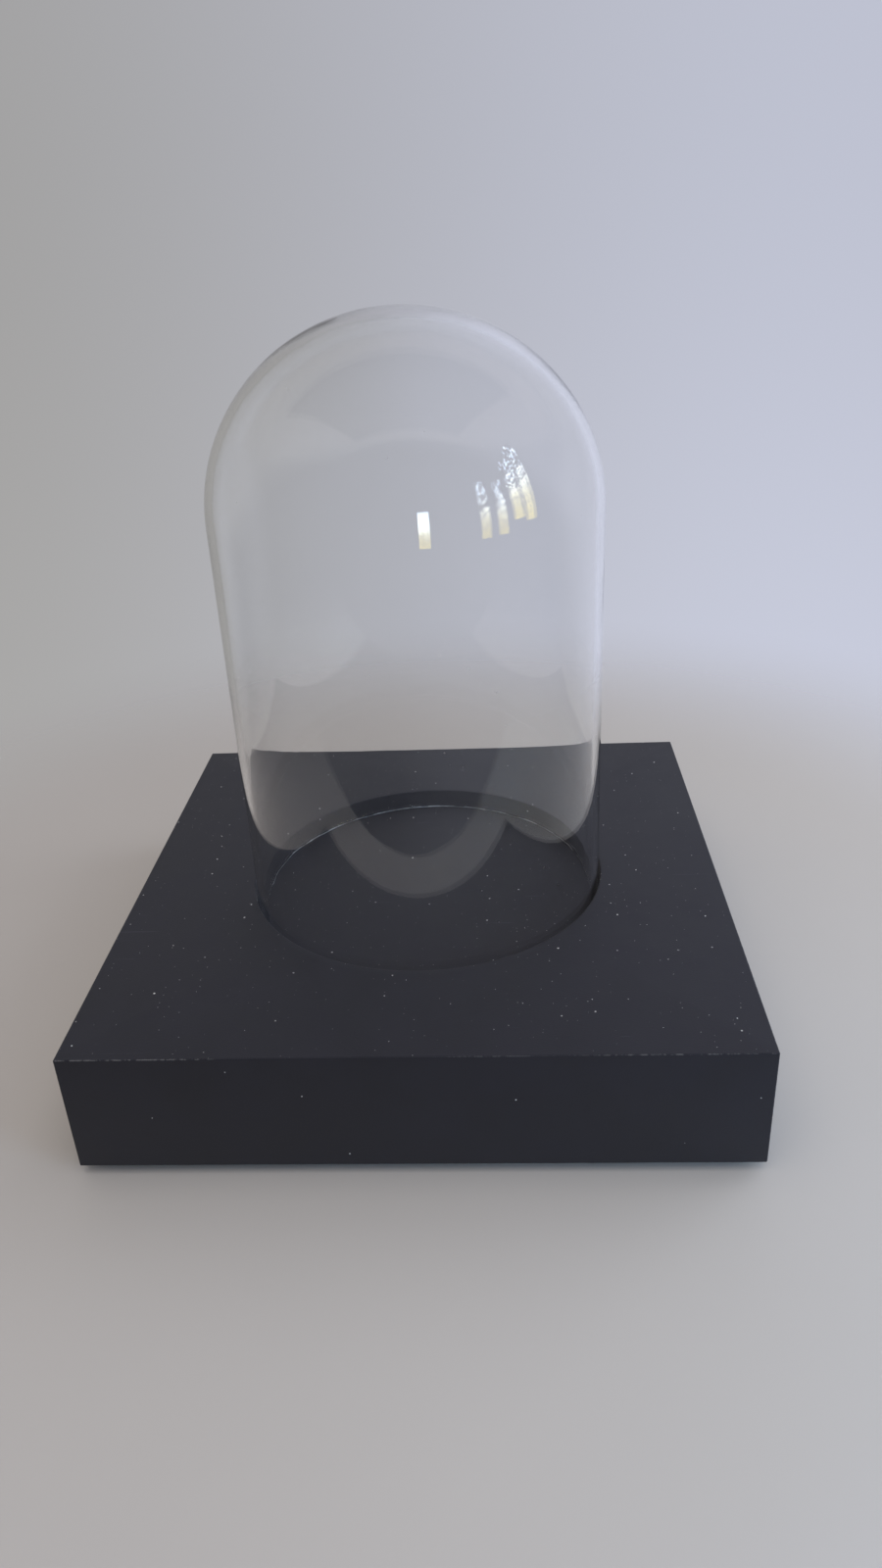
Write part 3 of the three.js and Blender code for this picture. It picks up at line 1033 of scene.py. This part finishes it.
def floor_finish(name, settings):
    """Plain pale floor. It fades into the backdrop far out, and in front mirrors see it end sooner."""
    material, tree, position = new_material(name)
    mottle = noise_node(tree, position, 7.0, 4.0)
    tooth = noise_node(tree, position, 900.0, 2.0)
    base = Vector(settings.floor)
    colour = mix_colour(tree, mottle, rgba(base * 0.975), rgba(base * 1.02))
    bump = bumped(tree, tooth, 0.05, 0.05 * MM)
    shader = node(tree, "ShaderNodeBsdfPrincipled", {
        "Base Color": colour, "Roughness": 0.55, "Normal": bump})
    clear = node(tree, "ShaderNodeBsdfTransparent")
    axes = axes_of(tree, position)
    reach = node(tree, "ShaderNodeVectorMath", {0: position}, operation="LENGTH").outputs["Value"]
    fade = ramp(tree, reach, *FLOOR_FADE)
    mirrored_end = math_node(tree, "LESS_THAN", axes["Y"], MIRRORED_END)
    gone = highest(tree, fade, times(tree, mirrored_end, mirrored(tree)))
    mix = mix_shader(tree, gone, shader, clear)
    return surfaced(material, mix)


def pane_finish(name, bottom, top, sky, clearness):
    """A bright window pane, seen only in gloss: sky above, sunlit leaves below, and branches that
    break up both."""
    material, tree, position = new_material(name)
    up = axes_of(tree, position)["Z"]
    leaves = noise_node(tree, position, 9.0, 5.0, 0.8)
    height = plus(tree, up, times(tree, minus(tree, leaves, 0.5), 0.5))
    part = ramp(tree, height, bottom, top)
    colour = mix_colour(tree, part, LEAVES, SKY)
    branches = noise_node(tree, position, 12.0, 4.0, 0.75)
    thinned = minus(tree, branches, times(tree, part, 0.12))
    past_leaves = ramp(tree, part, 0.1, 0.7, 0.8, clearness)
    twigs = highest(tree, ramp(tree, thinned, 0.42, 0.46), past_leaves)
    clumps = noise_node(tree, position, 40.0, 3.0, 0.8)
    foliage = ramp(tree, clumps, 0.38, 0.62, 0.2 * sky, 0.5 * sky)
    skyward = ramp(tree, part, 0.1, 0.8)
    brightness = node(tree, "ShaderNodeMix", {0: skyward, 2: foliage, 3: sky}).outputs[0]
    strength = times(tree, brightness, twigs)
    light = node(tree, "ShaderNodeEmission", {"Color": colour, "Strength": strength})
    clear = node(tree, "ShaderNodeBsdfTransparent")
    depth = node(tree, "ShaderNodeLightPath").outputs["Glossy Depth"]
    once = math_node(tree, "COMPARE", depth, 1.0, 0.5)
    mix = mix_shader(tree, once, clear, light)
    return surfaced(material, mix)


def room_light(settings):
    """Even light all round, cooler towards the windows. The eye sees a plain backdrop, and gloss
    sees that wall and the darker room in front of it."""
    world = bpy.data.worlds.new("studio")
    bpy.context.scene.world = world
    world.use_nodes = True
    tree = world.node_tree
    tree.nodes.clear()
    direction = tree.nodes.new("ShaderNodeTexCoord").outputs["Generated"]
    axes = axes_of(tree, direction)
    wall = mix_colour(
        tree, ramp(tree, axes["X"], -0.50, 0.32),
        rgba(settings.backdrop_left), rgba(settings.backdrop_right))
    backdrop = node(tree, "ShaderNodeBackground", {
        "Color": wall, "Strength": ramp(tree, axes["Z"], -0.45, 0.10, 1.10, 0.98)})
    lean = plus(tree, times(tree, axes["Y"], 0.75), times(tree, axes["Z"], 0.65))
    front = mix_colour(
        tree, ramp(tree, axes["X"], -0.5, 0.7),
        rgba(settings.mirrored_dark), rgba(settings.mirrored_window))
    mirrors = mix_colour(tree, ramp(tree, lean, -0.05, 0.28), front, wall)
    gain = ramp(tree, axes["X"], -0.35, 0.40, 0.95, 1.20)
    mirrors = node(
        tree, "ShaderNodeVectorMath", {0: mirrors, "Scale": gain}, operation="SCALE").outputs[0]
    sideways = plus(tree, lean, times(tree, axes["X"], 0.35))
    lights = mix_colour(
        tree, ramp(tree, sideways, -0.8, 0.8),
        rgba(settings.light_in_front), rgba(settings.light_behind))
    tint = mix_colour(tree, ramp(tree, axes["X"], -0.8, 0.8), WARM_SIDE, WINDOW_SIDE)
    lights = node(tree, "ShaderNodeVectorMath", {0: lights, 1: tint}, operation="MULTIPLY").outputs[0]
    path = node(tree, "ShaderNodeLightPath").outputs
    diffuse = math_node(tree, "GREATER_THAN", path["Diffuse Depth"], 0.5)
    room = mix_colour(tree, diffuse, mirrors, lights)
    lighting = node(tree, "ShaderNodeBackground", {"Color": room, "Strength": 1.0})
    indirect = highest(tree, mirrored(tree), diffuse)
    mix = mix_shader(tree, indirect, backdrop, lighting)
    surfaced(world, mix)


def softbox(name, place_at, size, watts, colour):
    """A large lamp aimed at the plinth. Neither the eye nor the glass sees it."""
    lamp = bpy.data.lights.new(name, "AREA")
    lamp.size = size
    lamp.energy = watts
    lamp.color = colour
    stand = bpy.data.objects.new(name, lamp)
    stand.location = place_at
    stand.rotation_euler = (LAMPS_AIM - Vector(place_at)).to_track_quat("-Z", "Y").to_euler()
    stand.visible_camera = False
    stand.visible_transmission = False
    stand.visible_glossy = False
    bpy.context.scene.collection.objects.link(stand)


def window_pane(name, sides, heights, sky, clearness):
    """A pane that only gloss sees, standing between those bearings."""
    (left, right), (low, high) = sides, heights
    corners = [
        bearing(azimuth, elevation, PANE_DISTANCE)
        for azimuth, elevation in ((left, low), (right, low), (right, high), (left, high))
    ]
    bm = bmesh.new()
    bm.faces.new([bm.verts.new(corner) for corner in corners])
    pane = place(name, bm, None)
    pane.data.materials.append(pane_finish(name, corners[0].z, corners[2].z, sky, clearness))
    pane.visible_camera = False
    pane.visible_diffuse = False
    pane.visible_shadow = False


class BELLJAR_OT_studio(bpy.types.Operator):
    """Lay the plain floor, light it softly and set the camera"""

    bl_idname = "belljar.studio"
    bl_label = "Studio"

    def execute(self, context):
        scene = context.scene
        settings = scene.belljar_studio
        scene.view_settings.view_transform = "Standard"
        bm = loft([ring(radius, 0.0, 96) for radius in FLOOR_RINGS])
        outer_fan = [face for face in bm.faces if len(face.verts) == 3 and face.calc_area() > 0.02]
        bmesh.ops.delete(bm, geom=outer_fan, context="FACES")
        floor = place("floor", bm, None)
        floor.data.materials.append(floor_finish("floor", settings))
        room_light(settings)
        for lamp in LAMPS:
            softbox(*lamp)
        for number, pane in enumerate(PANES):
            window_pane(f"pane_{number}", *pane)
        camera_data = bpy.data.cameras.new("camera")
        camera_data.lens = settings.lens
        camera_data.clip_start = 0.01
        camera = bpy.data.objects.new("camera", camera_data)
        camera.matrix_world = (
            Matrix.Translation(settings.camera_place)
            @ Matrix.Rotation(settings.heading, 4, "Z")
            @ Matrix.Rotation(math.pi / 2 - settings.tilt, 4, "X")
            @ Matrix.Rotation(-settings.roll, 4, "Z")
        )
        scene.collection.objects.link(camera)
        scene.camera = camera
        return {"FINISHED"}


# ---- the add-on ---------------------------------------------------------

SETTINGS = {
    "belljar_glass": GlassSettings,
    "belljar_plinth": PlinthSettings,
    "belljar_fittings": FittingSettings,
    "belljar_studio": StudioSettings,
}
STEPS = (
    BELLJAR_OT_studio,
    BELLJAR_OT_glass_dome,
    BELLJAR_OT_top_panel,
    BELLJAR_OT_side_panels,
    BELLJAR_OT_bottom_panel,
    BELLJAR_OT_corner_blocks,
    BELLJAR_OT_bottom_screws,
    BELLJAR_OT_rubber_feet,
    BELLJAR_OT_foot_fastenings,
)


class BELLJAR_PT_panel(bpy.types.Panel):
    """Lists the steps that build the bell jar"""

    bl_idname = "BELLJAR_PT_panel"
    bl_label = "Bell Jar"
    bl_space_type = "VIEW_3D"
    bl_region_type = "UI"
    bl_category = "Bell Jar"

    def draw(self, context):
        for name, settings in SETTINGS.items():
            box = self.layout.box()
            for prop in settings.__annotations__:
                box.prop(getattr(context.scene, name), prop)
        for step in STEPS:
            self.layout.operator(step.bl_idname)


def register():
    for cls in (*SETTINGS.values(), *STEPS, BELLJAR_PT_panel):
        bpy.utils.register_class(cls)
    for name, settings in SETTINGS.items():
        setattr(bpy.types.Scene, name, bpy.props.PointerProperty(type=settings))


def unregister():
    for name in SETTINGS:
        delattr(bpy.types.Scene, name)
    for cls in reversed((*SETTINGS.values(), *STEPS, BELLJAR_PT_panel)):
        bpy.utils.unregister_class(cls)


def main():
    register()
    for step in STEPS:
        getattr(bpy.ops.belljar, step.bl_idname.split(".")[1])()


if __name__ == "__main__":
    main()
